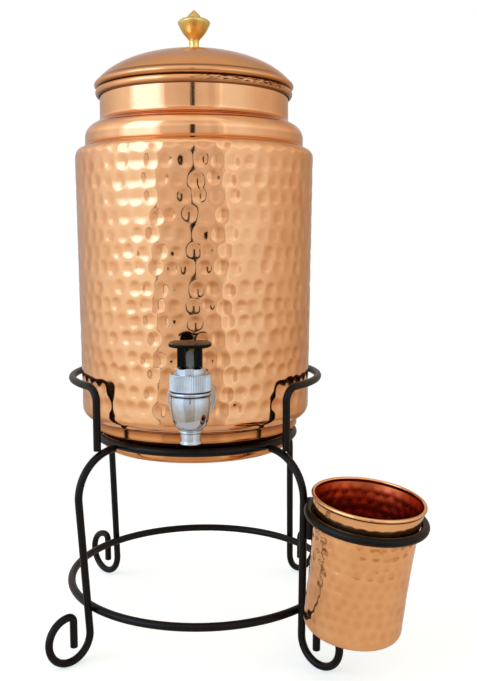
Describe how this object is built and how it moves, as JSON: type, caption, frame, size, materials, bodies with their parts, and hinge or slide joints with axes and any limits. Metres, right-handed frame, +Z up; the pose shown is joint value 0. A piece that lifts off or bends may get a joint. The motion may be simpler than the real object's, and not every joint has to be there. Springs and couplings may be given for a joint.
{
  "type": "drink dispenser",
  "caption": "Copper water dispenser: hammered round vessel with a domed lid and a push-down lever tap, on a scrolled iron stand with arms and a leaning ring for a tumbler.",
  "frame": {"origin": "middle of the footprint of the whole object's bounding box, on the floor that the feet stand on", "axes": "+Z up, -Y towards the front where the tap is, +X towards the tumbler's side"},
  "size_m": [0.2618, 0.2626, 0.4734],
  "materials": {
    "hammered_copper": null,
    "polished_copper": null,
    "tumbler_copper": null,
    "brass": "polished",
    "chrome": "bright plated",
    "black_iron": "black powder coat on iron bar",
    "black_plastic": "glossy black moulding",
    "grey_plastic": "grey moulding",
    "white_silicone": "translucent white silicone",
    "steel": "plain steel"
  },
  "bodies": {
    "stand": {"upper_ring": "black_iron", "lower_ring": "black_iron", "leg_front_left": "black_iron", "leg_front_right": "black_iron", "leg_back_right": "black_iron", "leg_back_left": "black_iron", "arm_left": "black_iron", "arm_right": "black_iron", "holder_ring": "black_iron", "holder_stub": "black_iron"},
    "vessel": {"base_pan": "polished_copper", "drum_shell": "hammered_copper", "shoulder_neck": "polished_copper", "tap_outer_washer": "white_silicone", "tap_inner_washer": "white_silicone", "tap_lock_nut": "chrome", "tap_body": "chrome", "tap_cap": "chrome", "cap_gasket": "white_silicone", "stem_seal": "white_silicone", "tap_spring": "steel"},
    "lid": {"lid_shell": "polished_copper", "lid_knob": "brass", "knob_washer": "brass", "knob_nut": "brass"},
    "tap_stem": {"tap_stem": "grey_plastic", "tap_seat": "white_silicone", "lever_pin": "steel"},
    "tap_lever": {"tap_lever": "black_plastic"},
    "tumbler": {"tumbler": "tumbler_copper"}
  },
  "joints": [
    {"name": "vessel_lift", "type": "slide", "parent": "stand", "child": "vessel", "axis": [0, 0, 1], "range_m": [0, 0.06]},
    {"name": "lid_lift", "type": "slide", "parent": "vessel", "child": "lid", "axis": [0, 0, 1], "range_m": [0, 0.08]},
    {"name": "stem_lift", "type": "slide", "parent": "vessel", "child": "tap_stem", "axis": [0, 0, 1], "range_m": [0, 0.00288], "stiffness_N_per_m": 250, "springref_m": -0.003, "deforming": ["tap_spring"]},
    {"name": "lever_press", "type": "hinge", "parent": "tap_stem", "child": "tap_lever", "pos_m": [-0.0281, -0.08628, 0.22517], "axis": [1, 0, 0], "range_deg": [0, 30]},
    {"name": "tumbler_lift", "type": "slide", "parent": "stand", "child": "tumbler", "axis": [0.099, -0.0824, 0.9917], "range_m": [0, 0.11]}
  ],
  "couplings": [
    {"joint": "lever_press", "follows": "stem_lift", "rad_per_m": 181.82}
  ]
}
